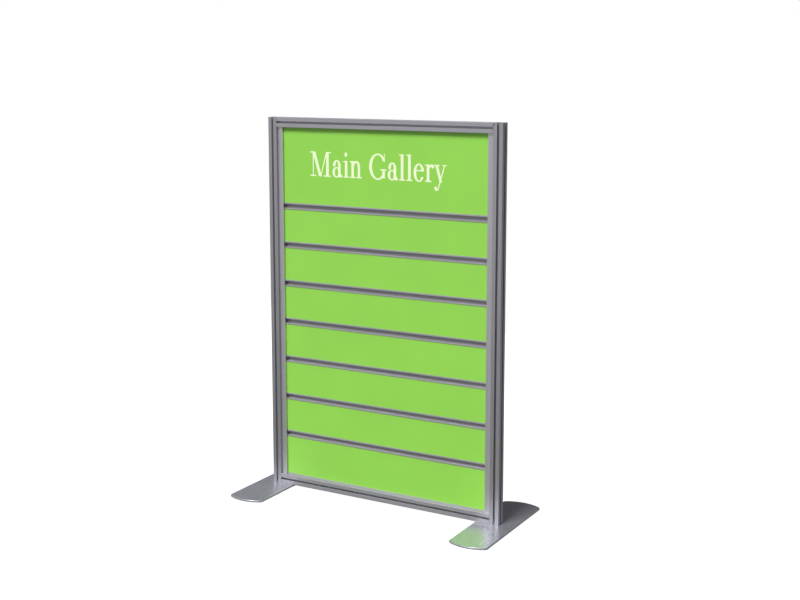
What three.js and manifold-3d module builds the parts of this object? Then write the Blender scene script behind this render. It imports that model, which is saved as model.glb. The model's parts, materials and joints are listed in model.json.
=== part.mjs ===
// Free-standing partition wall: a square slotted aluminium frame on two flat foot plates, filled with a
// solid header board and a slatted field of boards joined by aluminium accessory channels.
// Millimetres. X runs along the wall, the face with the grooves looks along -Y, +Z is up.
// The origin is on the floor under the middle of the wall.

import * as THREE from 'three';
import { mergeVertices } from 'three/addons/utils/BufferGeometryUtils.js';
import Module from 'manifold-3d';

const wasm = await Module();
wasm.setup();

// ---------------------------------------------------------------- driving dimensions

const WALL_WIDTH = 1003;              // outer face of one upright to the outer face of the other
const FRAME_HEIGHT = 1467;            // length of an upright
const PROFILE = 38.1;                 // side of the square frame section
const PROFILE_ARRIS = 0.8;            // flat on the section's outer corners

const SLOT_MOUTH = 8.2;               // width of the section's slots at the face
const SLOT_LIP = 3;                   // depth of the narrow mouth
const SLOT_CAVITY = 20;               // width of the wide part behind the lips
const SLOT_STRAIGHT = 5.5;            // depth where the wide part begins to taper
const SLOT_FLOOR = 9.2;               // width of the slot's floor
const SLOT_DEPTH = 11;                // depth of the floor
const CORE_BORE_R = 3.9;              // bore down the middle of the section

const PITCH = 152.4;                  // groove to groove
const GROOVES = 7;
const FIRST_GROOVE = 1123.4;          // middle of the highest groove above the foot of the frame
const GROOVE_MOUTH = 15;              // clear opening between the lips
const CHANNEL_HEIGHT = 25;            // outer height of a channel's body
const CHANNEL_FACE = 26.4;            // height over the channel's two lips
const CHANNEL_WALL = 1.5;
const FIN_TIP = 17;                   // reach of the locking fins above and below the groove's middle
const FIN_FRONT = 1.4;
const FIN_BACK = 2.6;

const BOARD_FRONT = -4;               // face of the boards, 15 mm behind the face of the frame
const BOARD_BACK = 8;
const BOARD_GAP = 0.3;                // play between a board's edge and a channel's body
const KERF_DEPTH = 5.2;               // saw kerf in a board's edge for a channel's fin
const KERF_PLAY = 0.3;
const BACK_FRONT = 8.1;               // sheet that closes the back
const BACK_BACK = 12.1;

const EDGE_FACE = 23;                 // width of the side channel's face
const EDGE_FRONT = -11.05;            // its depth: 8 mm behind the face of the frame
const EDGE_WALL = 1.6;
const EDGE_WEB = 2;
const EDGE_BACK_LEG = 20;

const SILL_LIP = 5.6;                 // height of the sill trim's front lip above the rail

const PLATE_WIDTH = 150;              // foot plate, across the wall's length
const PLATE_LENGTH = 508;             // foot plate, front to back
const PLATE_SAGITTA = 22;             // how far its rounded ends bulge
const PLATE_CORNER = 12;
const PLATE_THICK = 6;
const PLATE_BEVEL = 0.9;
const PAD_THICK = 1;
const PAD_INSET = 5;

const FIT = 0.2;                      // general play between pieces that are fastened together
const BOLT_R = 3.7;                   // M8 thread
const ARC_STEPS = 14;

// ---------------------------------------------------------------- derived positions

const HALF_WIDTH = WALL_WIDTH / 2;
const HALF_PROFILE = PROFILE / 2;
const UPRIGHT_X = HALF_WIDTH - HALF_PROFILE;
const OPENING_X = HALF_WIDTH - PROFILE;
const FOOT_Z = PAD_THICK + PLATE_THICK;
const TOP_Z = FOOT_Z + FRAME_HEIGHT;
const SILL_Z = FOOT_Z + PROFILE;
const HEAD_Z = TOP_Z - PROFILE;
const BOARD_X = OPENING_X - FIT - EDGE_WEB - 0.5;
const CLEAR_X = OPENING_X - EDGE_FACE - FIT;
const RAIL_Z = [FOOT_Z + HALF_PROFILE, TOP_Z - HALF_PROFILE];

// ---------------------------------------------------------------- materials

const anodised = { color: 0x9a999f, metalness: 0.85, roughness: 0.42 };
const anodisedLight = { color: 0xa8a7ab, metalness: 0.8, roughness: 0.38 };
const greenLaminate = { color: 0x96d75a, metalness: 0, roughness: 0.5 };
const backSheet = { color: 0xb9bab8, metalness: 0, roughness: 0.7 };
const plateMetal = { color: 0x8d8f96, metalness: 0.85, roughness: 0.4 };
const zincSteel = { color: 0xb4b6b8, metalness: 0.9, roughness: 0.35 };
const rubber = { color: 0x232323, metalness: 0, roughness: 0.9 };

// ---------------------------------------------------------------- helpers

const wall = new THREE.Group();

function addPiece(name, geometry, look, place = {}) {
  const mesh = new THREE.Mesh(geometry, new THREE.MeshStandardMaterial(look));
  mesh.name = name;
  mesh.position.set(place.x ?? 0, place.y ?? 0, place.z ?? 0);
  wall.add(mesh);
  return mesh;
}

function outline(points) {
  return new THREE.Shape(points.map(([u, v]) => new THREE.Vector2(u, v)));
}

// Extrusion whose section lies in X and Y and which runs up Z from zero.
function extrudeUp(shape, length) {
  return new THREE.ExtrudeGeometry(shape, { depth: length, bevelEnabled: false, curveSegments: ARC_STEPS });
}

// Extrusion whose section is drawn as (Y, Z) and which runs along X, centred on zero.
function extrudeAlong(shape, length) {
  const geometry = extrudeUp(shape, length);
  const turn = new THREE.Matrix4().makeBasis(
    new THREE.Vector3(0, 1, 0),
    new THREE.Vector3(0, 0, 1),
    new THREE.Vector3(1, 0, 0),
  );
  geometry.applyMatrix4(turn);
  geometry.translate(-length / 2, 0, 0);
  return geometry;
}

function toSolid(geometry) {
  const bare = geometry.clone();
  bare.deleteAttribute('normal');
  bare.deleteAttribute('uv');
  const merged = mergeVertices(bare, 1e-4);
  return new wasm.Manifold(new wasm.Mesh({
    numProp: 3,
    vertProperties: new Float32Array(merged.attributes.position.array),
    triVerts: new Uint32Array(merged.index.array),
  }));
}

function toGeometry(solid) {
  const mesh = solid.getMesh();
  const geometry = new THREE.BufferGeometry();
  geometry.setAttribute('position', new THREE.BufferAttribute(new Float32Array(mesh.vertProperties), 3));
  geometry.setIndex(new THREE.BufferAttribute(new Uint32Array(mesh.triVerts), 1));
  geometry.computeVertexNormals();
  return geometry;
}

function cutFrom(geometry, cutters) {
  const solid = cutters.reduce((left, cutter) => left.subtract(toSolid(cutter)), toSolid(geometry));
  return toGeometry(solid);
}

// Body of revolution about Z from a closed profile of [radius, height] pairs.
function turned(profile, steps) {
  const geometry = new THREE.LatheGeometry(profile.map(([r, z]) => new THREE.Vector2(r, z)), steps);
  geometry.rotateX(Math.PI / 2);
  return geometry;
}

function cylinderUp(radius, from, to, steps = 24) {
  return turned([[0, from], [radius, from], [radius, to], [0, to]], steps);
}

function hexagonUp(acrossFlats, from, to) {
  const radius = acrossFlats / Math.sqrt(3);
  const corners = [0, 1, 2, 3, 4, 5].map((k) => [
    radius * Math.cos((k * Math.PI) / 3),
    radius * Math.sin((k * Math.PI) / 3),
  ]);
  const geometry = extrudeUp(outline(corners), to - from);
  geometry.translate(0, 0, from);
  return geometry;
}

// ---------------------------------------------------------------- frame section

// Square section with one undercut slot per face and a bore down the middle.
function frameSection() {
  const quarter = [
    [HALF_PROFILE, -HALF_PROFILE + PROFILE_ARRIS],
    [HALF_PROFILE, -SLOT_MOUTH / 2],
    [HALF_PROFILE - SLOT_LIP, -SLOT_MOUTH / 2],
    [HALF_PROFILE - SLOT_LIP, -SLOT_CAVITY / 2],
    [HALF_PROFILE - SLOT_STRAIGHT, -SLOT_CAVITY / 2],
    [HALF_PROFILE - SLOT_DEPTH, -SLOT_FLOOR / 2],
    [HALF_PROFILE - SLOT_DEPTH, SLOT_FLOOR / 2],
    [HALF_PROFILE - SLOT_STRAIGHT, SLOT_CAVITY / 2],
    [HALF_PROFILE - SLOT_LIP, SLOT_CAVITY / 2],
    [HALF_PROFILE - SLOT_LIP, SLOT_MOUTH / 2],
    [HALF_PROFILE, SLOT_MOUTH / 2],
    [HALF_PROFILE, HALF_PROFILE - PROFILE_ARRIS],
  ];
  const points = [];
  for (let side = 0; side < 4; side += 1) {
    const c = Math.round(Math.cos((side * Math.PI) / 2));
    const s = Math.round(Math.sin((side * Math.PI) / 2));
    for (const [u, v] of quarter) {
      points.push([c * u - s * v, s * u + c * v]);
    }
  }
  const shape = outline(points);
  const bore = new THREE.Path();
  bore.absarc(0, 0, CORE_BORE_R, 0, 2 * Math.PI, true);
  shape.holes.push(bore);
  return shape;
}

// ---------------------------------------------------------------- uprights

const KEY_HOLE_R = 3.4;               // hole through the core for the key that tightens a rail bolt
const LOCATING_NOTCH = { width: 5, height: 9.5, depth: 4, below: 4 };

function uprightGeometry(side) {
  const cutters = RAIL_Z.map((z) => {
    const hole = new THREE.CylinderGeometry(KEY_HOLE_R, KEY_HOLE_R, 2 * (HALF_PROFILE - SLOT_DEPTH) + 2, 20);
    hole.rotateZ(Math.PI / 2);
    hole.translate(0, 0, z - FOOT_Z);
    return hole;
  });
  if (side > 0) {
    const notch = new THREE.BoxGeometry(
      2 * LOCATING_NOTCH.width,
      2 * LOCATING_NOTCH.depth,
      LOCATING_NOTCH.height,
    );
    notch.translate(-HALF_PROFILE, -HALF_PROFILE, FRAME_HEIGHT - LOCATING_NOTCH.below - LOCATING_NOTCH.height / 2);
    cutters.push(notch);
  }
  return cutFrom(extrudeUp(frameSection(), FRAME_HEIGHT), cutters);
}

const SIDES = [['left', -1], ['right', 1]];

for (const [name, side] of SIDES) {
  addPiece(`${name}_upright`, uprightGeometry(side), anodised, { x: side * UPRIGHT_X, z: FOOT_Z });
}

// ---------------------------------------------------------------- rails

const RAIL_LENGTH = 2 * (OPENING_X - FIT);

addPiece('bottom_rail', extrudeAlong(frameSection(), RAIL_LENGTH), anodised, { z: RAIL_Z[0] });
addPiece('top_rail', extrudeAlong(frameSection(), RAIL_LENGTH), anodised, { z: RAIL_Z[1] });

// ---------------------------------------------------------------- rail bolts

const RAIL_BOLT_HEAD_R = 6.8;
const RAIL_BOLT_HEAD = 4;
const RAIL_BOLT_REACH = 22;           // length screwed into the rail's core
const RAIL_BOLT_KEY = 5;

// Button head held behind the lips of the upright's inner slot, shank into the rail's bore.
// Drawn pointing up Z with the bearing face of the head at zero, then laid along X.
function railBoltGeometry(side) {
  const body = turned([
    [0, -RAIL_BOLT_HEAD],
    [RAIL_BOLT_HEAD_R - 2.2, -RAIL_BOLT_HEAD],
    [RAIL_BOLT_HEAD_R - 0.6, -RAIL_BOLT_HEAD + 1.3],
    [RAIL_BOLT_HEAD_R, -1.2],
    [RAIL_BOLT_HEAD_R, 0],
    [BOLT_R, 0],
    [BOLT_R, SLOT_LIP + RAIL_BOLT_REACH - 1],
    [BOLT_R - 1, SLOT_LIP + RAIL_BOLT_REACH],
    [0, SLOT_LIP + RAIL_BOLT_REACH],
  ], 24);
  const bolt = cutFrom(body, [hexagonUp(RAIL_BOLT_KEY, -RAIL_BOLT_HEAD - 1, -RAIL_BOLT_HEAD + 2.5)]);
  bolt.rotateY((-side * Math.PI) / 2);
  return bolt;
}

for (const [name, side] of SIDES) {
  const bearing = side * (OPENING_X + SLOT_LIP + FIT);
  addPiece(`${name}_bottom_rail_bolt`, railBoltGeometry(side), zincSteel, { x: bearing, z: RAIL_Z[0] });
  addPiece(`${name}_top_rail_bolt`, railBoltGeometry(side), zincSteel, { x: bearing, z: RAIL_Z[1] });
}

// ---------------------------------------------------------------- side channels

const TONGUE_NECK = 3.8;              // half width of the neck in the slot's mouth
const TONGUE_HEAD = 8;                // half width of the head behind the lips
const TONGUE_HEAD_NEAR = 3.3;
const TONGUE_HEAD_FAR = 5.1;
const BACK_LEG_FRONT = 12.4;
const BACK_LEG_BACK = 14.2;

// Section with X counted from the upright's inner face towards the middle of the wall.
function sideChannelSection(side) {
  const points = [
    [FIT, EDGE_FRONT],
    [EDGE_FACE, EDGE_FRONT],
    [EDGE_FACE, BOARD_FRONT - 0.3],
    [EDGE_FACE - EDGE_WALL, BOARD_FRONT - 0.3],
    [EDGE_FACE - EDGE_WALL, EDGE_FRONT + EDGE_WALL],
    [FIT + EDGE_WEB, EDGE_FRONT + EDGE_WALL],
    [FIT + EDGE_WEB, BACK_LEG_FRONT],
    [EDGE_BACK_LEG, BACK_LEG_FRONT],
    [EDGE_BACK_LEG, BACK_LEG_BACK],
    [FIT, BACK_LEG_BACK],
    [FIT, TONGUE_NECK],
    [-TONGUE_HEAD_NEAR, TONGUE_NECK],
    [-TONGUE_HEAD_NEAR, TONGUE_HEAD],
    [-TONGUE_HEAD_FAR, TONGUE_HEAD],
    [-TONGUE_HEAD_FAR, -TONGUE_HEAD],
    [-TONGUE_HEAD_NEAR, -TONGUE_HEAD],
    [-TONGUE_HEAD_NEAR, -TONGUE_NECK],
    [FIT, -TONGUE_NECK],
  ];
  return outline(points.map(([x, y]) => [-side * x, y]));
}

for (const [name, side] of SIDES) {
  const length = HEAD_Z - SILL_Z - 2 * FIT;
  const place = { x: side * OPENING_X, z: SILL_Z + FIT };
  addPiece(`${name}_side_channel`, extrudeUp(sideChannelSection(side), length), anodisedLight, place);
}

// ---------------------------------------------------------------- sill trim

const SILL_BASE = 1.5;
const SILL_TONGUE = 5;
const SILL_BACK_LIP = 12;

function sillTrimSection() {
  return outline([
    [BOARD_FRONT - 1.7, 0.1],
    [-TONGUE_NECK, 0.1],
    [-TONGUE_NECK, -SILL_TONGUE],
    [TONGUE_NECK, -SILL_TONGUE],
    [TONGUE_NECK, 0.1],
    [BACK_LEG_FRONT + 1.5, 0.1],
    [BACK_LEG_FRONT + 1.5, SILL_BACK_LIP],
    [BACK_LEG_FRONT, SILL_BACK_LIP],
    [BACK_LEG_FRONT, 0.1 + SILL_BASE],
    [BOARD_FRONT - 0.2, 0.1 + SILL_BASE],
    [BOARD_FRONT - 0.2, SILL_LIP],
    [BOARD_FRONT - 1.7, SILL_LIP],
  ]);
}

addPiece('sill_trim', extrudeAlong(sillTrimSection(), 2 * CLEAR_X), anodisedLight, { z: SILL_Z });

// ---------------------------------------------------------------- boards

const CHANNEL_EDGE = CHANNEL_HEIGHT / 2 + BOARD_GAP;
const BOARD_FLOOR = SILL_Z + 0.1 + SILL_BASE + 0.2;
const HEAD_TONGUE = { half: 3.7, rise: 8 };
const ARRIS = 0.6;                    // eased front edges of the laminate

const grooveZ = [];
for (let k = 0; k < GROOVES; k += 1) {
  grooveZ.push(FOOT_Z + FIRST_GROOVE - k * PITCH);
}

// Section of a board as (Y, Z): a kerf for a channel's fin in each edge that meets a channel, and
// on the header a tongue that stands in the top rail's slot.
function boardSection(low, high, kerfBelow, kerfAbove, tongueAbove) {
  const kerfFront = FIN_FRONT - KERF_PLAY;
  const kerfBack = FIN_BACK + KERF_PLAY;
  const points = [[BOARD_FRONT, low + ARRIS], [BOARD_FRONT + ARRIS, low]];
  if (kerfBelow) {
    points.push([kerfFront, low], [kerfFront, low + KERF_DEPTH], [kerfBack, low + KERF_DEPTH], [kerfBack, low]);
  }
  points.push([BOARD_BACK, low], [BOARD_BACK, high]);
  if (kerfAbove) {
    points.push([kerfBack, high], [kerfBack, high - KERF_DEPTH], [kerfFront, high - KERF_DEPTH], [kerfFront, high]);
  }
  if (tongueAbove) {
    const { half, rise } = HEAD_TONGUE;
    points.push([half, high], [half, high + rise], [-half, high + rise], [-half, high]);
    points.push([BOARD_FRONT, high]);
  } else {
    points.push([BOARD_FRONT + ARRIS, high], [BOARD_FRONT, high - ARRIS]);
  }
  return outline(points);
}

function addBoard(name, low, high, options) {
  const section = boardSection(low, high, options.kerfBelow, options.kerfAbove, options.tongueAbove);
  addPiece(name, extrudeAlong(section, 2 * BOARD_X), greenLaminate);
}

addBoard('header_board', grooveZ[0] + CHANNEL_EDGE, HEAD_Z - 0.4, { kerfBelow: true, tongueAbove: true });
for (let k = 0; k < GROOVES - 1; k += 1) {
  const low = grooveZ[k + 1] + CHANNEL_EDGE;
  const high = grooveZ[k] - CHANNEL_EDGE;
  addBoard(`slat_board_${k + 1}`, low, high, { kerfBelow: true, kerfAbove: true });
}
addBoard('base_board', BOARD_FLOOR, grooveZ[GROOVES - 1] - CHANNEL_EDGE, { kerfAbove: true });

// ---------------------------------------------------------------- accessory channels

// C section with inward lips at the face and a locking fin above and below, as (Y, Z).
function accessoryChannelSection() {
  const face = BOARD_FRONT - 1.7;
  const lipBack = BOARD_FRONT - 0.2;
  const half = CHANNEL_HEIGHT / 2;
  const upper = [
    [BOARD_BACK, half],
    [FIN_BACK, half],
    [FIN_BACK, FIN_TIP],
    [FIN_FRONT, FIN_TIP],
    [FIN_FRONT, half],
    [lipBack, half],
    [lipBack, CHANNEL_FACE / 2],
    [face, CHANNEL_FACE / 2],
    [face, GROOVE_MOUTH / 2],
    [lipBack, GROOVE_MOUTH / 2],
    [lipBack, half - CHANNEL_WALL],
    [BOARD_BACK - CHANNEL_WALL, half - CHANNEL_WALL],
  ];
  const lower = upper.map(([y, z]) => [y, -z]).reverse();
  return outline([...upper, ...lower]);
}

grooveZ.forEach((z, k) => {
  const channel = extrudeAlong(accessoryChannelSection(), 2 * (CLEAR_X - FIT));
  addPiece(`slat_channel_${k + 1}`, channel, anodisedLight, { z });
});

// ---------------------------------------------------------------- back panel

const backHeight = HEAD_Z - 0.4 - BOARD_FLOOR;
const backGeometry = new THREE.BoxGeometry(2 * BOARD_X, BACK_BACK - BACK_FRONT, backHeight);
addPiece('back_panel', backGeometry, backSheet, {
  y: (BACK_FRONT + BACK_BACK) / 2,
  z: BOARD_FLOOR + backHeight / 2,
});

// ---------------------------------------------------------------- feet

// Outline of a foot plate: straight sides, bulging ends and rounded corners, drawn inset by the given amount.
function footOutline(inset) {
  const half = PLATE_WIDTH / 2 - inset;
  const reach = PLATE_LENGTH / 2 - inset;
  const corner = PLATE_CORNER - Math.min(inset, PLATE_CORNER - 4);
  const endRadius = ((PLATE_WIDTH / 2) ** 2 + PLATE_SAGITTA ** 2) / (2 * PLATE_SAGITTA) - inset;
  const endCentre = reach - endRadius;
  const cornerX = half - corner;
  const cornerY = endCentre + Math.sqrt((endRadius - corner) ** 2 - cornerX ** 2);
  const blend = Math.atan2(cornerY - endCentre, cornerX);
  const quarter = [];
  for (let i = 0; i <= 6; i += 1) {
    const a = (blend * i) / 6;
    quarter.push([cornerX + corner * Math.cos(a), cornerY + corner * Math.sin(a)]);
  }
  for (let i = 1; i <= 6; i += 1) {
    const a = blend + ((Math.PI / 2 - blend) * i) / 6;
    quarter.push([endRadius * Math.cos(a), endCentre + endRadius * Math.sin(a)]);
  }
  const mirrored = quarter.slice(0, -1).map(([x, y]) => [-x, y]).reverse();
  const back = [...quarter, ...mirrored];
  const front = back.map(([x, y]) => [-x, -y]);
  return outline([...back, ...front]);
}

const PLATE_PIN_R = 3.7;              // body of a stepped locating pin, a loose fit in a slot's mouth
const PIN_SHANK_R = 3;                // its shank, pressed into the plate
const PIN_OFFSET = HALF_PROFILE - 7;  // pins stand in the upright's front and back slots
const PIN_RISE = 10;
const BOLT_HEAD_R = 8;
const BOLT_HEAD_Z = PAD_THICK + 0.3;
const BOLT_SINK = 4.3;
const BOLT_RISE = 25;
const PAD_HOLE_R = 10;

function plateGeometry() {
  const plate = new THREE.ExtrudeGeometry(footOutline(0), {
    depth: PLATE_THICK - 2 * PLATE_BEVEL,
    bevelEnabled: true,
    bevelThickness: PLATE_BEVEL,
    bevelSize: PLATE_BEVEL,
    bevelOffset: -PLATE_BEVEL,
    bevelSegments: 1,
  });
  plate.translate(0, 0, PLATE_BEVEL);
  const sink = turned([
    [0, -1],
    [BOLT_HEAD_R + 0.3, -1],
    [BOLT_HEAD_R + 0.3, BOLT_HEAD_Z - PAD_THICK + 0.2],
    [BOLT_R + 0.3, BOLT_HEAD_Z - PAD_THICK + BOLT_SINK + 0.2],
    [BOLT_R + 0.3, PLATE_THICK + 1],
    [0, PLATE_THICK + 1],
  ], 32);
  const pinHoles = [-1, 1].map((end) => {
    const hole = cylinderUp(PIN_SHANK_R + 0.05, -1, PLATE_THICK + 1);
    hole.translate(0, end * PIN_OFFSET, 0);
    return hole;
  });
  return cutFrom(plate, [sink, ...pinHoles]);
}

function footBoltGeometry() {
  const body = turned([
    [0, 0],
    [BOLT_HEAD_R, 0],
    [BOLT_R, BOLT_SINK],
    [BOLT_R, BOLT_RISE - 1],
    [BOLT_R - 1, BOLT_RISE],
    [0, BOLT_RISE],
  ], 32);
  return cutFrom(body, [hexagonUp(5, -1, 2.8)]);
}

function pinGeometry() {
  return turned([
    [0, PAD_THICK + 0.5],
    [PIN_SHANK_R, PAD_THICK + 0.5],
    [PIN_SHANK_R, FOOT_Z + 0.05],
    [PLATE_PIN_R, FOOT_Z + 0.05],
    [PLATE_PIN_R, FOOT_Z + PIN_RISE - 0.8],
    [PLATE_PIN_R - 0.8, FOOT_Z + PIN_RISE],
    [0, FOOT_Z + PIN_RISE],
  ], 24);
}

function padGeometry() {
  const shape = footOutline(PAD_INSET);
  const hole = new THREE.Path();
  hole.absarc(0, 0, PAD_HOLE_R, 0, 2 * Math.PI, true);
  shape.holes.push(hole);
  return extrudeUp(shape, PAD_THICK - 0.05);
}

for (const [name, side] of SIDES) {
  const x = side * UPRIGHT_X;
  addPiece(`${name}_foot_plate`, plateGeometry(), plateMetal, { x, z: PAD_THICK });
  addPiece(`${name}_foot_pad`, padGeometry(), rubber, { x });
  addPiece(`${name}_foot_bolt`, footBoltGeometry(), zincSteel, { x, z: BOLT_HEAD_Z });
  [['front', -1], ['back', 1]].forEach(([place, end]) => {
    addPiece(`${name}_${place}_foot_pin`, pinGeometry(), zincSteel, { x, y: end * PIN_OFFSET });
  });
}

export default wall;
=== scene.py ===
"""Free-standing partition wall for exhibitions.

A slotted aluminium frame stands on two flat foot plates and holds a field of green slat boards with
aluminium accessory channels between them, under a plain header board that carries a short heading.
Every piece is worked out in millimetres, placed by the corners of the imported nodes, and kept in metres.
"""
import json
import math

import bmesh
import bpy
import numpy as np
from bpy.props import FloatProperty, FloatVectorProperty, PointerProperty, StringProperty
from mathutils.geometry import tessellate_polygon
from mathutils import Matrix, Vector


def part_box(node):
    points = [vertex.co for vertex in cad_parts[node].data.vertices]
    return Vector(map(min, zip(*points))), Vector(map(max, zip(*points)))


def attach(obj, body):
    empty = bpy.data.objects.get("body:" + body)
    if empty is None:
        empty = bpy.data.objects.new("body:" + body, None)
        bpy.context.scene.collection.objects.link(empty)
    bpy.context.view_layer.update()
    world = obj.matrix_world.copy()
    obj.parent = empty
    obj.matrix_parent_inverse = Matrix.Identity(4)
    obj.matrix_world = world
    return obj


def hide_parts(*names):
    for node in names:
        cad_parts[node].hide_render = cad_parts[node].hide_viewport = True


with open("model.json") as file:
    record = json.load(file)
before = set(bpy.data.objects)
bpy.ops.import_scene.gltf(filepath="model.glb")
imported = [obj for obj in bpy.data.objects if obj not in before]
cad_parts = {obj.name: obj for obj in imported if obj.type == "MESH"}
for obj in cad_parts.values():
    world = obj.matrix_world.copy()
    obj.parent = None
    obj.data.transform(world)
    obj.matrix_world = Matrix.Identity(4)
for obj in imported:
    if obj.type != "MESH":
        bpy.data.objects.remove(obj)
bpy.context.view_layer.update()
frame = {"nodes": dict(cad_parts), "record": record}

bl_info = {
    "name": "Partition Wall",
    "version": (1, 0, 0),
    "blender": (4, 5, 0),
    "location": "View3D > Sidebar > Partition Wall",
    "description": "Builds a slotted aluminium partition wall with slat boards and foot plates",
    "category": "Add Mesh",
}

MM = 0.001
BODY = "root"
SIDES = (("left", -1), ("right", 1))

# Slotted section of the frame, in millimetres from its middle or from its face.
SLOT_MOUTH = 8.2
SLOT_LIP = 3.0
SLOT_CAVITY = 20.0
SLOT_STRAIGHT = 5.5
SLOT_FLOOR = 9.2
SLOT_DEPTH = 11.0
CORE_BORE = 3.9
KEY_HOLE = 3.4
KEY_HOLE_STEPS = 22  # so that no corner of the hole lies on a corner of the core bore that it crosses
NOTCH = (5.0, 4.0, 9.5)
NOTCH_BELOW_TOP = 4.0

# Boards, channels and trims, as depths from the middle of the frame: minus is towards the front.
BOARD_FRONT = -4.0
BOARD_BACK = 8.0
FIN_FRONT, FIN_BACK, FIN_TIP = 1.4, 2.6, 17.0
KERF_DEPTH, KERF_PLAY = 5.2, 0.3
TONGUE_HALF = 3.7
TONGUE_RISE = 8.0
CHANNEL_HALF = 12.5
CHANNEL_LIP_HALF = 13.2
CHANNEL_WALL = 1.5
GROOVE_MOUTH_HALF = 7.5
LIP_FRONT, LIP_BACK = -5.7, -4.2
EDGE_FACE, EDGE_WALL, EDGE_WEB = 23.0, 1.6, 2.0
EDGE_FRONT = -11.05
BACK_LEG_REACH, BACK_LEG_FRONT, BACK_LEG_BACK = 20.0, 12.4, 14.2
SILL_LIP = 5.6
FIT = 0.2

# Foot plates.
PLATE_SAGITTA = 22.0
PLATE_CORNER = 12.0
PAD_INSET = 5.0
PAD_HOLE = 10.0
SINK_RADIUS = 8.3
SINK_DEPTH = 4.3
BOLT_CLEARANCE = 4.0
PIN_SHANK = 3.05
PIN_OFFSET = 12.05


# Finishes of the matter extrusions: colour, roughness and how far it looks like a metal.
RAIL_METALLIC = 0.6
SILL_COLOUR, SILL_ROUGHNESS, SILL_METALLIC = "#B9B8BC", 0.42, 0.6
CHANNEL_COLOUR, CHANNEL_ROUGHNESS, CHANNEL_METALLIC = "#AAA9AD", 0.5, 0.5

# Heading film, in millimetres.
FILM_THICKNESS = 0.2
FILM_CELL = 1.2
FILM_MARGIN = 6.0

# Stage, in metres and degrees, except PAINTED_SHADOW_GAP in millimetres.
# reach of the painted contact shadow that ambient occlusion puts on the floor's glow
PAINTED_SHADOW_GAP = 7.0
KEY_PLACE = (-0.4, -2.2, 2.8)
KEY_ANGLE = 24.0
CAMERA_PLACE = (2.3567, -3.9837, 1.6739)
CAMERA_PITCH, CAMERA_YAW = 8.441, 29.785
CAMERA_SENSOR = 36.0
CAMERA_SHIFT = -0.0625
SKY_BRIGHT_WAY = (-0.62, -0.78, 0.1)


# ---------------- colours and shader nodes


def linear(colour):
    """Linear RGBA of an sRGB hex colour: below 0.04045 a value is divided by 12.92, and above it the
    value plus 0.055 is divided by 1.055 and raised to 2.4."""
    s = np.array([int(colour[i : i + 2], 16) for i in (1, 3, 5)]) / 255
    return (*np.where(s <= 0.04045, s / 12.92, ((s + 0.055) / 1.055) ** 2.4).tolist(), 1.0)


def add_node(tree, kind, inputs=(), **settings):
    """Adds a node. Settings are its properties, and inputs maps a socket to a value or to an output."""
    made = tree.nodes.new(kind)
    for name, value in settings.items():
        setattr(made, name, value)
    for key, value in dict(inputs).items():
        if isinstance(value, bpy.types.NodeSocket):
            tree.links.new(value, made.inputs[key])
        else:
            made.inputs[key].default_value = value
    return made


def streaks(tree, size, detail=2.0, roughness=0.5):
    """Noise on Object coordinates whose grains measure size = (x, y, z) in millimetres."""
    where = add_node(tree, "ShaderNodeTexCoord").outputs["Object"]
    scale = [1 / (length * MM) for length in size]
    moved = add_node(tree, "ShaderNodeMapping", {"Vector": where, "Scale": scale}).outputs[0]
    wanted = {"Vector": moved, "Scale": 1.0, "Detail": detail, "Roughness": roughness}
    return add_node(tree, "ShaderNodeTexNoise", wanted).outputs["Fac"]


def spread(tree, value, low, high, start=0.3, end=0.7):
    """Takes a noise that lies mostly between start and end to the range from low to high."""
    wanted = {"Value": value, "From Min": start, "From Max": end, "To Min": low, "To Max": high}
    return add_node(tree, "ShaderNodeMapRange", wanted, clamp=True).outputs["Result"]


def blend(tree, amount, first, second):
    """Colour between first and second."""
    wanted = {0: amount, 6: first, 7: second}
    return add_node(tree, "ShaderNodeMix", wanted, data_type="RGBA").outputs[2]


def dent(tree, height, distance, strength=1.0):
    """Normal from a height between 0 and 1 that stands for distance in millimetres."""
    wanted = {"Height": height, "Distance": distance * MM, "Strength": strength}
    return add_node(tree, "ShaderNodeBump", wanted).outputs["Normal"]


def finish_material(name, sockets, build):
    """Material called name: build(tree) gives the linked sockets, and sockets holds the constant ones."""
    made = bpy.data.materials.get(name)
    if made:
        return made
    made = bpy.data.materials.new(name)
    made.use_nodes = True
    tree = made.node_tree
    tree.nodes.clear()
    shader = add_node(tree, "ShaderNodeBsdfPrincipled", {**sockets, **build(tree)})
    add_node(tree, "ShaderNodeOutputMaterial", {"Surface": shader.outputs[0]})
    return made


def anodised(name, colour, along, roughness, metallic=0.92):
    """Extruded aluminium, satin etched and anodised clear: a metal with soft reflections, drawn out into
    faint lines along its length by the die. The oxide on it scatters a little of the light, and more of
    it where the etch is left matt, so it is less than fully metallic. Real die lines are about 0.1 mm
    wide, too fine to show, so they are drawn 1.6 mm wide."""
    fine = [90.0 if axis == along else 1.6 for axis in "XYZ"]
    broad = [600.0 if axis == along else 14.0 for axis in "XYZ"]
    dark, pale = (tuple(c * k for c in colour[:3]) + (1.0,) for k in (0.93, 1.05))

    def build(tree):
        line, band = streaks(tree, fine), streaks(tree, broad)
        return {
            "Base Color": blend(tree, spread(tree, band, 0, 1), dark, pale),
            "Roughness": spread(tree, line, roughness - 0.05, roughness + 0.06),
            "Normal": dent(tree, line, 0.004, 0.5),
        }

    return finish_material(name, {"Metallic": metallic}, build)


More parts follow.
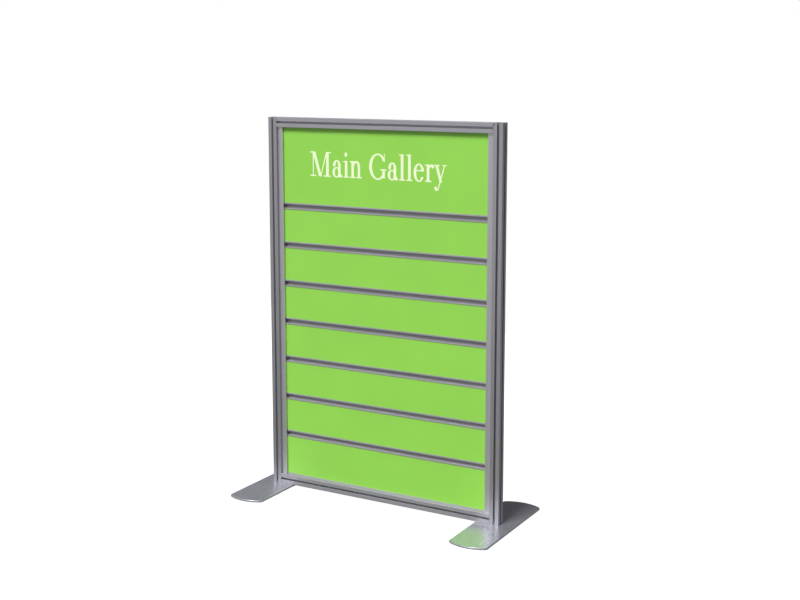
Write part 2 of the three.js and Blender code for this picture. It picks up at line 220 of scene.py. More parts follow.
def laminate(colour):
    """Melamine laminate with a satin, very finely pebbled face: an even colour and a broad soft sheen.
    The pebbling is about 0.3 mm, too fine to show, so it is drawn 2.5 mm wide."""
    dark, pale = (tuple(c * k for c in colour[:3]) + (1.0,) for k in (0.97, 1.02))

    def build(tree):
        pebble, cloud = streaks(tree, (2.5,) * 3), streaks(tree, (240.0,) * 3)
        return {
            "Base Color": blend(tree, spread(tree, cloud, 0, 1), dark, pale),
            "Roughness": spread(tree, pebble, 0.46, 0.54),
            "Normal": dent(tree, pebble, 0.01, 0.4),
        }

    return finish_material("Satin Green Laminate", {"Metallic": 0.0, "IOR": 1.5}, build)


def fibreboard():
    """Medium density fibreboard where it is cut: matt, tan and felted, with darker glue flecks of
    about 1 mm."""

    def build(tree):
        fibre, fleck = streaks(tree, (0.8, 0.8, 0.5)), streaks(tree, (3.0,) * 3, 4.0, 0.7)
        mixed = blend(tree, spread(tree, fibre, 0, 1), linear("#A8845C"), linear("#C39F74"))
        return {
            "Base Color": blend(tree, spread(tree, fleck, 0, 0.35, 0.5, 0.75), mixed, linear("#7F603F")),
            "Roughness": spread(tree, fibre, 0.82, 0.95),
            "Normal": dent(tree, fibre, 0.08, 0.5),
        }

    return finish_material("Medium Density Fibreboard", {"Metallic": 0.0, "IOR": 1.45}, build)


def hardboard():
    """Hardboard with a grey primed face: matt, with the faint mottle of pressed fibres 6 to 8 mm long."""

    def build(tree):
        fibre, mottle = streaks(tree, (7.0, 7.0, 1.2), 3.0), streaks(tree, (90.0,) * 3)
        grey = blend(tree, spread(tree, mottle, 0, 1), linear("#BABBB8"), linear("#C0C1BE"))
        return {
            "Base Color": blend(tree, spread(tree, fibre, 0, 0.3), grey, linear("#A3A4A2")),
            "Roughness": spread(tree, fibre, 0.66, 0.8),
            "Normal": dent(tree, fibre, 0.05, 0.5),
        }

    return finish_material("Grey Primed Hardboard", {"Metallic": 0.0, "IOR": 1.48}, build)


def powder_coat(colour):
    """Steel plate in smooth silver powder coat, fine metal flake in a clear binder: partly a metal, so it
    mirrors softly, and partly matt. The orange peel is about 1 mm wide, too fine to show, so it is drawn
    5 mm wide."""
    dark, pale = (tuple(c * k for c in colour[:3]) + (1.0,) for k in (0.96, 1.03))

    def build(tree):
        peel, cloud = streaks(tree, (5.0,) * 3), streaks(tree, (90.0,) * 3, 3.0)
        return {
            "Base Color": blend(tree, spread(tree, cloud, 0, 1), dark, pale),
            "Roughness": spread(tree, peel, 0.27, 0.31),
            "Normal": dent(tree, peel, 0.001, 0.2),
        }

    return finish_material("Silver Powder Coat", {"Metallic": 0.74}, build)


def zinc_steel():
    """Bright zinc plated steel of screws and pins: a cool metal with a mottle of about 1.5 mm where the
    passivation is thicker."""

    def build(tree):
        where = add_node(tree, "ShaderNodeTexCoord").outputs["Object"]
        wanted = {"Vector": where, "Scale": 1 / (1.5 * MM)}
        cell = add_node(tree, "ShaderNodeTexVoronoi", wanted, feature="SMOOTH_F1").outputs["Distance"]
        dull = spread(tree, cell, 0, 1, 0, 0.8)
        return {
            "Base Color": blend(tree, dull, linear("#C9CDD2"), linear("#A9ABA6")),
            "Roughness": spread(tree, cell, 0.26, 0.4, 0, 0.8),
        }

    return finish_material("Zinc Plated Steel", {"Metallic": 1.0}, build)


def rubber():
    """Black rubber sheet under the plates: matt, with a cloth mark of about 1 mm pressed into it."""

    def build(tree):
        grain = streaks(tree, (1.0,) * 3, 3.0)
        return {
            "Base Color": blend(tree, spread(tree, grain, 0, 1), linear("#1D1D1E"), linear("#2B2B2C")),
            "Roughness": spread(tree, grain, 0.78, 0.92),
            "Normal": dent(tree, grain, 0.06, 0.6),
        }

    return finish_material("Black Rubber", {"Metallic": 0.0, "IOR": 1.52}, build)


def vinyl(colour):
    """Matt vinyl film in a pale greenish cream, cut and laid on the board: even and slightly soft, with
    the faint pull marks of about 12 mm that a squeegee leaves."""
    grey = tuple(c * 0.95 for c in colour[:3]) + (1.0,)

    def build(tree):
        pull = streaks(tree, (12.0, 12.0, 3.0))
        return {
            "Base Color": blend(tree, spread(tree, pull, 0, 1), grey, colour),
            "Roughness": spread(tree, pull, 0.4, 0.5),
        }

    return finish_material("White Vinyl Film", {"Metallic": 0.0, "IOR": 1.5}, build)


# ---------------- outlines


def fillet(corners, steps=3):
    """Closed outline from corners (u, v, radius). An arc touches both edges of its corner at the radius
    over the tangent of half the corner's angle, and its points turn evenly from one touching radius to
    the other."""
    corners = np.asarray(corners, float)
    at, radius = corners[:, :2], corners[:, 2:]
    before, after = np.roll(at, 1, 0) - at, np.roll(at, -1, 0) - at
    shorter = np.minimum(*(np.linalg.norm(v, axis=1, keepdims=True) for v in (before, after)))
    before /= np.linalg.norm(before, axis=1, keepdims=True)
    after /= np.linalg.norm(after, axis=1, keepdims=True)
    half = np.arccos(np.clip((before * after).sum(1, keepdims=True), -1, 1)) / 2
    reach = np.minimum(radius / np.tan(half), 0.495 * shorter)
    middle = before + after
    middle /= np.linalg.norm(middle, axis=1, keepdims=True)
    centre = at + middle * reach / np.cos(half)
    first, last = at + before * reach - centre, at + after * reach - centre
    turn = (np.pi - 2 * half)[:, None]
    w = np.linspace(0, 1, steps + 1)[None, :, None]
    arcs = np.sin((1 - w) * turn) * first[:, None] + np.sin(w * turn) * last[:, None]
    return (arcs / np.sin(turn) + centre[:, None]).reshape(-1, 2)


def shrink(corners, amount):
    """The same corners with every edge moved inwards: a corner moves along the sum of its two edge
    normals over one plus their product. Outer corners lose the amount from their radius and inner
    corners gain it."""
    corners = np.asarray(corners, float)
    at = corners[:, :2]
    edge = np.roll(at, -1, 0) - at
    normal = np.stack((edge[:, 1], -edge[:, 0]), 1) / np.linalg.norm(edge, axis=1, keepdims=True)
    before = np.roll(normal, 1, 0)
    mitre = (normal + before) / (1 + (normal * before).sum(1, keepdims=True))
    outer = before[:, 0] * normal[:, 1] - before[:, 1] * normal[:, 0] > 0
    radius = np.maximum(corners[:, 2] + np.where(outer, -amount, amount), 0.02)
    return np.column_stack((at - mitre * amount, radius))


def circle(radius, steps=24):
    """Ring of points at one radius, at even angles."""
    angle = np.arange(steps) * 2 * np.pi / steps
    return radius * np.column_stack((np.cos(angle), np.sin(angle)))


def frame_section(side, arris, lip):
    """Corners of the square section, counterclockwise: one quarter holds a face's undercut slot and the
    corner after it, and is turned by right angles."""
    half = side / 2
    quarter = np.array([
        (half, -SLOT_MOUTH / 2, lip),
        (half - SLOT_LIP, -SLOT_MOUTH / 2, 0.2),
        (half - SLOT_LIP, -SLOT_CAVITY / 2, 0.5),
        (half - SLOT_STRAIGHT, -SLOT_CAVITY / 2, 0.5),
        (half - SLOT_DEPTH, -SLOT_FLOOR / 2, 0.8),
        (half - SLOT_DEPTH, SLOT_FLOOR / 2, 0.8),
        (half - SLOT_STRAIGHT, SLOT_CAVITY / 2, 0.5),
        (half - SLOT_LIP, SLOT_CAVITY / 2, 0.5),
        (half - SLOT_LIP, SLOT_MOUTH / 2, 0.2),
        (half, SLOT_MOUTH / 2, lip),
        (half, half, arris),
    ])
    turns = [np.array([[0, -1], [1, 0]]) if k % 2 else np.eye(2) for k in range(4)]
    signs = (1, 1, -1, -1)
    return np.vstack([
        np.column_stack((quarter[:, :2] @ (sign * turn).T, quarter[:, 2]))
        for sign, turn in zip(signs, turns)
    ])


def mirrored(corners):
    """The corners with u reversed, in the order that keeps them counterclockwise."""
    return (np.asarray(corners, float) * (-1, 1, 1))[::-1]


def plate_outline(width, length, inset):
    """Foot plate outline: straight sides, ends that are arcs of one large circle, and corner arcs that
    touch both. One quarter is worked out and mirrored to the other three."""
    corner = PLATE_CORNER - min(inset, PLATE_CORNER - 4)
    end = ((width / 2) ** 2 + PLATE_SAGITTA**2) / (2 * PLATE_SAGITTA) - inset
    middle = length / 2 - inset - end
    across = width / 2 - inset - corner
    along = middle + math.sqrt((end - corner) ** 2 - across**2)
    meet = math.atan2(along - middle, across)
    a, b = np.linspace(0, meet, 10), np.linspace(meet, np.pi / 2, 15)[1:]
    rounded = np.column_stack((across + corner * np.cos(a), along + corner * np.sin(a)))
    bulged = np.column_stack((end * np.cos(b), middle + end * np.sin(b)))
    quarter = np.vstack((rounded, bulged))
    back = np.vstack((quarter, quarter[-2::-1] * (-1, 1)))
    return np.vstack((back, -back))


# ---------------- solids


def carry(corners, axis, start, end, offset=(0.0, 0.0), cut=0.25, steps=3):
    """Rings of a section carried in a straight line, in millimetres: the corners are (X, Y) when it runs
    up Z, and (Y, Z) when it runs along X. The first and last rings are inset by the saw cut's chamfer."""
    along = np.array([start, start + cut, end - cut, end])
    rings = np.stack([fillet(shrink(corners, inset), steps) for inset in (cut, 0, 0, cut)]) + offset
    return runs(rings, along, axis)


def carry_bore(radius, axis, start, end, offset=(0.0, 0.0), steps=24):
    """Rings of a round bore carried in a straight line."""
    return runs(np.stack([circle(radius, steps)] * 2) + offset, np.array([start, end]), axis)


def runs(rings, along, axis):
    """Stations of flat rings set out in space along an axis."""
    along = np.broadcast_to(along[:, None, None], (*rings.shape[:2], 1))
    return np.concatenate((along, rings) if axis == "X" else (rings, along), axis=2)


def mesh_of(name, loops):
    """Closed mesh from loops of rings in millimetres, the first the outside and the others holes: four
    sided faces join each ring to the next, and triangles fill both ends."""
    points, faces, first, last, base = [], [], [], [], 0
    for rings in loops:
        number = base + np.arange(rings.shape[0] * rings.shape[1]).reshape(rings.shape[:2])
        after = np.roll(number, -1, axis=1)
        faces += np.stack((number[:-1], after[:-1], after[1:], number[1:]), -1).reshape(-1, 4).tolist()
        points.append(rings.reshape(-1, 3))
        first.append(number[0])
        last.append(number[-1])
        base += number.size
    for ring_of, end in ((first, 0), (last, -1)):
        table = np.concatenate(ring_of)
        fill = tessellate_polygon([rings[end].tolist() for rings in loops])
        faces += table[np.array(fill)].tolist()
    mesh = bpy.data.meshes.new(name)
    mesh.from_pydata((np.concatenate(points) * MM).tolist(), [], faces)
    tidy_mesh(mesh)
    return mesh


def tidy_mesh(mesh):
    """Turns the faces of a closed mesh outwards and shades it smooth between edges sharper than 38
    degrees."""
    work = bmesh.new()
    work.from_mesh(mesh)
    bmesh.ops.recalc_face_normals(work, faces=work.faces)
    work.to_mesh(mesh)
    work.free()
    mesh.shade_smooth()
    mesh.set_sharp_from_angle(angle=math.radians(38))


def cut_out(mesh, name, cutters):
    """The mesh less the closed cutters."""
    piece = bpy.data.objects.new(name, mesh)
    bpy.context.collection.objects.link(piece)
    tools = []
    for cutter in cutters:
        tool = bpy.data.objects.new(cutter.name, cutter)
        bpy.context.collection.objects.link(tool)
        tools.append(tool)
        cutting = piece.modifiers.new("Cut", "BOOLEAN")
        cutting.operation, cutting.solver, cutting.object = "DIFFERENCE", "EXACT", tool
    left = bpy.data.meshes.new_from_object(piece.evaluated_get(bpy.context.evaluated_depsgraph_get()))
    left.name = name
    for used in (piece, *tools):
        old = used.data
        bpy.data.objects.remove(used)
        bpy.data.meshes.remove(old)
    tidy_mesh(left)
    return left


def place(name, mesh, materials, nodes, choose=None):
    """Puts a piece in the scene with its materials, on its body, for the nodes that it stands for. choose
    turns the faces' normals into material numbers."""
    piece = bpy.data.objects.new(name, mesh)
    bpy.context.collection.objects.link(piece)
    mesh.materials.clear()
    for material in materials:
        mesh.materials.append(material)
    if choose:
        normals = np.empty(3 * len(mesh.polygons), np.float32)
        mesh.polygons.foreach_get("normal", normals)
        mesh.polygons.foreach_set("material_index", choose(normals.reshape(-1, 3)).astype(np.int32))
    smooth = piece.modifiers.new("Even Shading", "WEIGHTED_NORMAL")
    smooth.keep_sharp = True
    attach(piece, BODY)
    if nodes:
        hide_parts(*nodes)
    return piece


def corners_of(node):
    """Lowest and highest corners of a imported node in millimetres."""
    return np.array([tuple(corner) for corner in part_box(node)]) / MM


def in_slot(slot):
    """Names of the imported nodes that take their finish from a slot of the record."""
    return [part["node"] for part in frame["record"]["subparts"] if part["material_slot"] == slot]


# ---------------- letters

# Letters in thousandths of an em. Their widths and heights are those of a common roman typeface, and
# their strokes are simple shapes fitted to them.
ADVANCE = {
    "M": 889, "a": 444, "i": 278, "n": 500, " ": 250,
    "G": 722, "l": 278, "e": 444, "r": 333, "y": 500,
}
OTHER_ADVANCE = 500
CAPITAL = 662
SERIF = 32
STEM = 102
NO_STROKE = 999.0  # distance given for a letter without strokes, such as a space


def bar(u, v, left, right, low, high):
    """Rectangle: the greatest distance past any of its four sides, less than nothing inside."""
    return np.maximum(np.maximum(left - u, u - right), np.maximum(low - v, v - high))


def slant(u, v, foot, head, low, high, half):
    """Stroke that leans from foot to head: the distance along u from its middle line, less half its
    width, between two heights."""
    middle = foot + (head - foot) * (v - low) / (high - low)
    return np.maximum(np.abs(u - middle) - half, np.maximum(low - v, v - high))


def oval(u, v, x, y, a, b):
    """Ellipse: the length of ((u - x) / a, (v - y) / b) less one, times its smaller half axis."""
    return (np.hypot((u - x) / a, (v - y) / b) - 1) * min(a, b)


def ring(u, v, x, y, a, b, stem, hair):
    """Ellipse less a smaller one: as thick as a stem at its sides and as a hairline at top and bottom."""
    return np.maximum(oval(u, v, x, y, a, b), -oval(u, v, x, y, a - stem, b - hair))


def upright(u, v, left, height, wide=False):
    """Stem of a small letter on its serif, with a flag at its top left."""
    right = left + STEM
    foot = bar(u, v, left - 62, right + (76 if wide else 66), 0, SERIF)
    flag = bar(u, v, left - 66, left + 4, height - 34, height - 6)
    return [bar(u, v, left, right, 0, height), foot, flag]


def letter_shape(letter, u, v):
    """Signed distance from the edge of a roman letter, in thousandths of an em: the smallest of the
    distances of its strokes, which are stems, slabs, leaning strokes, ovals and rings."""
    strokes = []
    if letter == "M":
        strokes = [
            bar(u, v, 118, 156, 0, CAPITAL), bar(u, v, 664, 664 + STEM + 10, 0, CAPITAL),
            slant(u, v, 428, 172, 0, CAPITAL, 58), slant(u, v, 440, 690, 0, CAPITAL, 21),
            bar(u, v, 16, 258, 0, SERIF), bar(u, v, 566, 862, 0, SERIF),
            bar(u, v, 16, 190, CAPITAL - SERIF, CAPITAL), bar(u, v, 690, 862, CAPITAL - SERIF, CAPITAL),
        ]
    if letter == "G":
        round_part = ring(u, v, 371, 331, 339, 345, 116, 40)
        mouth = bar(u, v, 480, 900, 190, 478)
        strokes = [
            np.maximum(np.maximum(round_part, -mouth), u - 652), bar(u, v, 548, 652, 34, 272),
            bar(u, v, 462, 712, 272 - SERIF, 272), bar(u, v, 616, 642, 462, 676),
        ]
    if letter == "a":
        arch = np.maximum(ring(u, v, 212, 316, 154, 144, STEM, 34), 300 - v)
        bowl = np.maximum(ring(u, v, 200, 130, 168, 142, STEM, 30), u - 300)
        strokes = [
            arch, bowl, oval(u, v, 104, 322, 48, 46), bar(u, v, 274, 366, 40, 320),
            bar(u, v, 360, 440, 8, 44), oval(u, v, 352, 44, 60, 52),
        ]
    if letter == "e":
        round_part = ring(u, v, 226, 225, 202, 237, STEM, 34)
        mouth = bar(u, v, 300, 900, 118, 262)
        strokes = [np.maximum(round_part, -mouth), bar(u, v, 90, 410, 262, 262 + SERIF)]
    if letter == "n":
        arch = ring(u, v, 272, 298, 154, 160, STEM, 46)
        above = 298 + 0.8 * np.maximum(272 - u, 0) - v
        strokes = [
            *upright(u, v, 78, 450), np.maximum(arch, above), bar(u, v, 334, 426, 0, 300),
            bar(u, v, 270, 490, 0, SERIF),
        ]
    if letter == "r":
        arm = np.maximum(ring(u, v, 262, 320, 110, 136, 40, 52), 372 - v)
        strokes = [*upright(u, v, 76, 450, wide=True), arm, oval(u, v, 296, 396, 48, 48)]
    if letter == "i":
        strokes = [*upright(u, v, 94, 450), oval(u, v, 138, 612, 58, 58)]
    if letter == "l":
        strokes = upright(u, v, 94, 683)
    if letter == "y":
        hook = np.maximum(ring(u, v, 118, -128, 92, 88, 40, 40), u - 190)
        strokes = [
            slant(u, v, 272, 104, 0, 450, 50), slant(u, v, 172, 410, -170, 450, 21),
            bar(u, v, 14, 226, 424, 450), bar(u, v, 326, 480, 424, 450),
            np.maximum(hook, v + 128), oval(u, v, 78, -152, 54, 46),
        ]
    return np.minimum.reduce(strokes) if strokes else np.full_like(u, NO_STROKE)


def film(name, shape, x, z, front, back):
    """Closed mesh of a thin film on a grid (x, z) in millimetres: the cells whose middles lie inside the
    shape, once at the front and once at the back, with walls round them. Points on its edge move down
    the slope of the shape to where it is nought, at most by 0.7 of a cell."""
    step = x[1] - x[0]
    middle = (shape[:-1, :-1] + shape[1:, :-1] + shape[:-1, 1:] + shape[1:, 1:]) / 4
    keep = middle < 0
    for _ in range(4):
        # two cells that touch only at a corner get a third beside them
        a, b, c, d = keep[:-1, :-1], keep[:-1, 1:], keep[1:, 1:], keep[1:, :-1]
        rising, falling = a & c & ~b & ~d, b & d & ~a & ~c
        keep[:-1, 1:] |= rising
        keep[:-1, :-1] |= falling
    around = np.pad(keep, 1).astype(int)
    beside = around[:-1, :-1] + around[1:, :-1] + around[:-1, 1:] + around[1:, 1:]
    slope_z, slope_x = np.gradient(shape, step)
    drop = shape / np.maximum(slope_x**2 + slope_z**2, 0.05)
    drop = np.where((beside > 0) & (beside < 4), drop, 0)
    flat_x, flat_z = np.meshgrid(x, z)
    flat_x = flat_x - np.clip(drop * slope_x, -0.7 * step, 0.7 * step)
    flat_z = flat_z - np.clip(drop * slope_z, -0.7 * step, 0.7 * step)
    number = np.arange(shape.size).reshape(shape.shape)
    a, b, c, d = number[:-1, :-1], number[:-1, 1:], number[1:, 1:], number[1:, :-1]
    padded = np.pad(keep, 1)
    sides = (
        (padded[:-2, 1:-1], a, b), (padded[1:-1, 2:], b, c), (padded[2:, 1:-1], c, d),
        (padded[1:-1, :-2], d, a),
    )
    total = shape.size
    faces = [np.stack((a, b, c, d), -1)[keep], np.stack((d, c, b, a), -1)[keep] + total]
    faces += [np.stack((p + total, q + total, q, p), -1)[keep & ~other] for other, p, q in sides]
    faces = np.concatenate(faces)
    used, faces = np.unique(faces, return_inverse=True)
    points = [np.stack((flat_x, np.full_like(flat_x, y), flat_z), -1).reshape(-1, 3) for y in (front, back)]
    mesh = bpy.data.meshes.new(name)
    mesh.from_pydata((np.concatenate(points)[used] * MM).tolist(), [], faces.reshape(-1, 4).tolist())
    tidy_mesh(mesh)
    return mesh


# ---------------- settings


class FrameSettings(bpy.types.PropertyGroup):
    """Uprights and rails."""

    arris: FloatProperty(
        name="Corner Radius", description="Radius along the corners of the section, in millimetres",
        default=1.2, min=0.3, max=3.0)
    lip: FloatProperty(
        name="Slot Edge Radius", description="Radius along the edges of the slots, in millimetres",
        default=0.45, min=0.1, max=1.0)
    roughness: FloatProperty(
        name="Roughness", description="Softness of the anodised face", default=0.38, min=0.1, max=0.9,
        subtype="FACTOR")
    # Painted light: the rails and the uprights are one anodised aluminium. Their two tints stand for the
    # different way light spreads along level and upright die lines.
    colour: FloatVectorProperty(
        name="Rail Colour", description="Tint of the anodised rails", size=4, subtype="COLOR",
        default=linear("#B0AFB5"), min=0, max=1)
    upright_tint_with_painted_light: FloatVectorProperty(
        name="Upright Colour", description="Tint of the anodised uprights", size=4, subtype="COLOR",
        default=linear("#BCBBC0"), min=0, max=1)


class TrimSettings(bpy.types.PropertyGroup):
    """Side channels, accessory channels and sill trim. The colour and roughness are for the side
    channels alone."""

    edge: FloatProperty(
        name="Edge Radius", description="Radius along the edges of the thin sections, in millimetres",
        default=0.4, min=0.1, max=0.7)
    roughness: FloatProperty(
        name="Roughness", description="Softness of the anodised face", default=0.38, min=0.1, max=0.9,
        subtype="FACTOR")
    colour: FloatVectorProperty(
        name="Colour", description="Tint of the anodised side channels", size=4, subtype="COLOR",
        default=linear("#D8D7DB"), min=0, max=1)


class BoardSettings(bpy.types.PropertyGroup):
    """Header board, slat boards and back panel."""

    ease: FloatProperty(
        name="Eased Edge", description="Radius along the front edges of a board, in millimetres",
        default=0.6, min=0.1, max=1.0)
    colour: FloatVectorProperty(
        name="Laminate Colour", description="Colour of the laminate", size=4, subtype="COLOR",
        default=linear("#8FD24E"), min=0, max=1)


class FootSettings(bpy.types.PropertyGroup):
    """Foot plates."""

    edge: FloatProperty(
        name="Edge Radius", description="Radius round the top edge of a plate, in millimetres",
        default=1.4, min=0.3, max=2.5)
    colour: FloatVectorProperty(
        name="Colour", description="Tint of the silver powder coat", size=4, subtype="COLOR",
        default=linear("#CBCCD6"), min=0, max=1)


class HeadingSettings(bpy.types.PropertyGroup):
    """Heading on the header board."""

    words: StringProperty(
        name="Words", description="Heading, in letters that letter_shape knows", default="Main Gallery")
    capital: FloatProperty(
        name="Capital Height", description="Height of a capital letter, in millimetres", default=94.0,
        min=20.0, max=160.0)
    squeeze: FloatProperty(
        name="Squeeze", description="Width of the letters against their normal width", default=0.78,
        min=0.5, max=1.2, subtype="FACTOR")
    middle: FloatProperty(
        name="Middle", description="Heading's middle, to the right of the wall's, in millimetres",
        default=-22.0)
    baseline: FloatProperty(
        name="Baseline", description="Baseline above the board's lower edge, in millimetres",
        default=109.0, min=10.0, max=200.0)
    colour: FloatVectorProperty(
        name="Colour", description="Colour of the film", size=4, subtype="COLOR",
        default=linear("#F0FBD0"), min=0, max=1)


class StageSettings(bpy.types.PropertyGroup):
    """Floor, light and camera."""

    floor: FloatProperty(
        name="Floor Size", description="Side of the floor", default=6.0, min=2.0, unit="LENGTH")
    glow: FloatProperty(
        name="Floor Glow", description="Light that the floor shows to the camera alone",
        default=1.0, min=0.0)
    key: FloatProperty(
        name="Key Light", description="Strength of the soft light above the front", default=3.55, min=0.0)
    lens: FloatProperty(
        name="Lens", description="Focal length on a sensor 36 mm wide", default=56.16, min=10.0, max=200.0,
        unit="CAMERA")


class WallSettings(bpy.types.PropertyGroup):
    """All the settings of the wall."""

    frame: PointerProperty(type=FrameSettings)
    trim: PointerProperty(type=TrimSettings)
    board: PointerProperty(type=BoardSettings)
    foot: PointerProperty(type=FootSettings)
    heading: PointerProperty(type=HeadingSettings)
    stage: PointerProperty(type=StageSettings)


# ---------------- operators


class PARTITION_OT_uprights(bpy.types.Operator):
    """Build the two slotted uprights"""

    bl_idname = "partition.uprights"
    bl_label = "Uprights"

    def execute(self, context):
        wanted = context.scene.partition_wall.frame
        # the uprights' tint is lighter than the rails' as painted light, for how light spreads along
        # upright die lines
        metal = anodised("Anodised Aluminium Upright", tuple(wanted.upright_tint_with_painted_light), "Z", wanted.roughness)
        for name, side in SIDES:
            node = f"{name}_upright"
            low, high = corners_of(node)
            x, y = (low[:2] + high[:2]) / 2
            section = frame_section(high[0] - low[0], wanted.arris, wanted.lip)
            loops = [
                carry(section, "Z", low[2], high[2], (x, y)),
                carry_bore(CORE_BORE, "Z", low[2], high[2], (x, y)),
            ]
            floor = (high[0] - low[0]) / 2 - SLOT_DEPTH + 1
            heights = [corners_of(f"{rail}_rail")[:, 2].mean() for rail in ("bottom", "top")]
            bores = [
                carry_bore(KEY_HOLE, "X", x - floor, x + floor, (y, z), KEY_HOLE_STEPS)
                for z in heights
            ]
            cutters = [mesh_of("key_hole", [bore]) for bore in bores]
            if side > 0:
                cutters.append(self.notch(low, high))
            place(f"{name}_upright_extrusion", cut_out(mesh_of(node, loops), node, cutters), [metal],
                  [node])
        return {"FINISHED"}

    @staticmethod
    def notch(low, high):
        """Locating notch in the inner front corner, just below the top."""
        wide, deep, tall = NOTCH
        top = high[2] - NOTCH_BELOW_TOP
        corners = [(-wide, -deep, 0.3), (wide, -deep, 0.3), (wide, deep, 0.3), (-wide, deep, 0.3)]
        rings = carry(corners, "Z", top - tall, top, (low[0], low[1]), cut=0.05)
        return mesh_of("notch", [rings])


class PARTITION_OT_rails(bpy.types.Operator):
    """Build the top and bottom rails"""

    bl_idname = "partition.rails"
    bl_label = "Rails"

    def execute(self, context):
        wanted = context.scene.partition_wall.frame
        # the rails' tint is darker than the uprights' as painted shade, for how light spreads along level
        # die lines
        metal = anodised(
            "Matt Anodised Aluminium Rail", tuple(wanted.colour), "X", wanted.roughness, RAIL_METALLIC)
        for node in ("top_rail", "bottom_rail"):
            low, high = corners_of(node)
            middle = (low[1:] + high[1:]) / 2
            section = frame_section(high[1] - low[1], wanted.arris, wanted.lip)
            loops = [
                carry(section, "X", low[0], high[0], middle),
                carry_bore(CORE_BORE, "X", low[0], high[0], middle),
            ]
            place(f"{node}_extrusion", mesh_of(node, loops), [metal], [node])
        return {"FINISHED"}


class PARTITION_OT_side_channels(bpy.types.Operator):
    """Build the channels that hold the boards' ends"""

    bl_idname = "partition.side_channels"
    bl_label = "Side Channels"

    def execute(self, context):
        wanted = context.scene.partition_wall.trim
        metal = anodised("Anodised Aluminium Side Channel", tuple(wanted.colour), "Z", wanted.roughness)
        r = wanted.edge
        neck, head, near, far = 3.8, 8.0, 3.3, 5.1
        lip = BOARD_FRONT - 0.3
        # u counts from the upright's inner face towards the middle of the wall
        section = [
            (FIT, EDGE_FRONT, r), (EDGE_FACE, EDGE_FRONT, r), (EDGE_FACE, lip, r),
            (EDGE_FACE - EDGE_WALL, lip, r), (EDGE_FACE - EDGE_WALL, EDGE_FRONT + EDGE_WALL, r),
            (FIT + EDGE_WEB, EDGE_FRONT + EDGE_WALL, r), (FIT + EDGE_WEB, BACK_LEG_FRONT, r),
            (BACK_LEG_REACH, BACK_LEG_FRONT, r), (BACK_LEG_REACH, BACK_LEG_BACK, r),
            (FIT, BACK_LEG_BACK, r), (FIT, neck, r), (-near, neck, r), (-near, head, r),
            (-far, head, r), (-far, -head, r), (-near, -head, r), (-near, -neck, r), (FIT, -neck, r),
        ]
        for name, side in SIDES:
            node = f"{name}_side_channel"
            low, high = corners_of(node)
            inner = corners_of(f"{name}_upright")[0 if side > 0 else 1, 0]
            corners = mirrored(section) if side > 0 else section
            rings = carry(corners, "Z", low[2], high[2], (inner, 0.0))
            place(f"{node}_extrusion", mesh_of(node, [rings]), [metal], [node])
        return {"FINISHED"}


class PARTITION_OT_sill_trim(bpy.types.Operator):
    """Build the trim that the lowest board stands on"""

    bl_idname = "partition.sill_trim"
    bl_label = "Sill Trim"

    def execute(self, context):
        wanted = context.scene.partition_wall.trim
        metal = anodised(
            "Matt Anodised Aluminium Trim", linear(SILL_COLOUR), "X", SILL_ROUGHNESS, SILL_METALLIC)
        low, high = corners_of("sill_trim")
        rail_top = corners_of("bottom_rail")[1, 2]
        r = wanted.edge
        neck, tongue, back_lip = 3.8, 5.0, 12.0
        back = BACK_LEG_FRONT
        section = [
            (LIP_FRONT, 0.1, r), (-neck, 0.1, r), (-neck, -tongue, r), (neck, -tongue, r), (neck, 0.1, r),
            (back + 1.5, 0.1, r), (back + 1.5, back_lip, r), (back, back_lip, r), (back, 1.6, r),
            (LIP_BACK, 1.6, r), (LIP_BACK, SILL_LIP, r), (LIP_FRONT, SILL_LIP, r),
        ]
        rings = carry(section, "X", low[0], high[0], (0.0, rail_top))
        place("sill_trim_extrusion", mesh_of("sill_trim", [rings]), [metal], ["sill_trim"])
        return {"FINISHED"}


class PARTITION_OT_boards(bpy.types.Operator):
    """Build the header board, the slat boards and the base board"""

    bl_idname = "partition.boards"
    bl_label = "Boards"

    def execute(self, context):
        wanted = context.scene.partition_wall.board
        materials = [fibreboard(), laminate(tuple(wanted.colour))]
        grooves = len([n for n in in_slot("trim_anodised") if n.startswith("slat_channel")])
        nodes = ["header_board", *(f"slat_board_{k}" for k in range(1, grooves)), "base_board"]
        for node in nodes:
            low, high = corners_of(node)
            header, base = node == "header_board", node == "base_board"
            top = high[2] - (TONGUE_RISE if header else 0.0)
            section = self.section(low[2], top, wanted.ease, not base, not header, header)
            rings = carry(section, "X", low[0], high[0])
            place(f"{node}_panel", mesh_of(node, [rings]), materials, [node],
                  lambda normal: normal[:, 1] < -0.3)
        return {"FINISHED"}

    @staticmethod
    def section(low, high, ease, kerf_below, kerf_above, tongue):
        """Corners (Y, Z) of a board: kerfs take the channels' fins, and the header's tongue stands in the
        top rail's slot."""
        front, back = FIN_FRONT - KERF_PLAY, FIN_BACK + KERF_PLAY
        corners = [(BOARD_FRONT, low, ease)]
        if kerf_below:
            corners += [(front, low, 0.1), (front, low + KERF_DEPTH, 0.1),
                        (back, low + KERF_DEPTH, 0.1), (back, low, 0.1)]
        corners += [(BOARD_BACK, low, 0.3), (BOARD_BACK, high, 0.3)]
        if kerf_above:
            corners += [(back, high, 0.1), (back, high - KERF_DEPTH, 0.1),
                        (front, high - KERF_DEPTH, 0.1), (front, high, 0.1)]
        if tongue:
            corners += [(TONGUE_HALF, high, 0.1), (TONGUE_HALF, high + TONGUE_RISE, 0.5),
                        (-TONGUE_HALF, high + TONGUE_RISE, 0.5), (-TONGUE_HALF, high, 0.02)]
        return [*corners, (BOARD_FRONT, high, 0.1 if tongue else ease)]


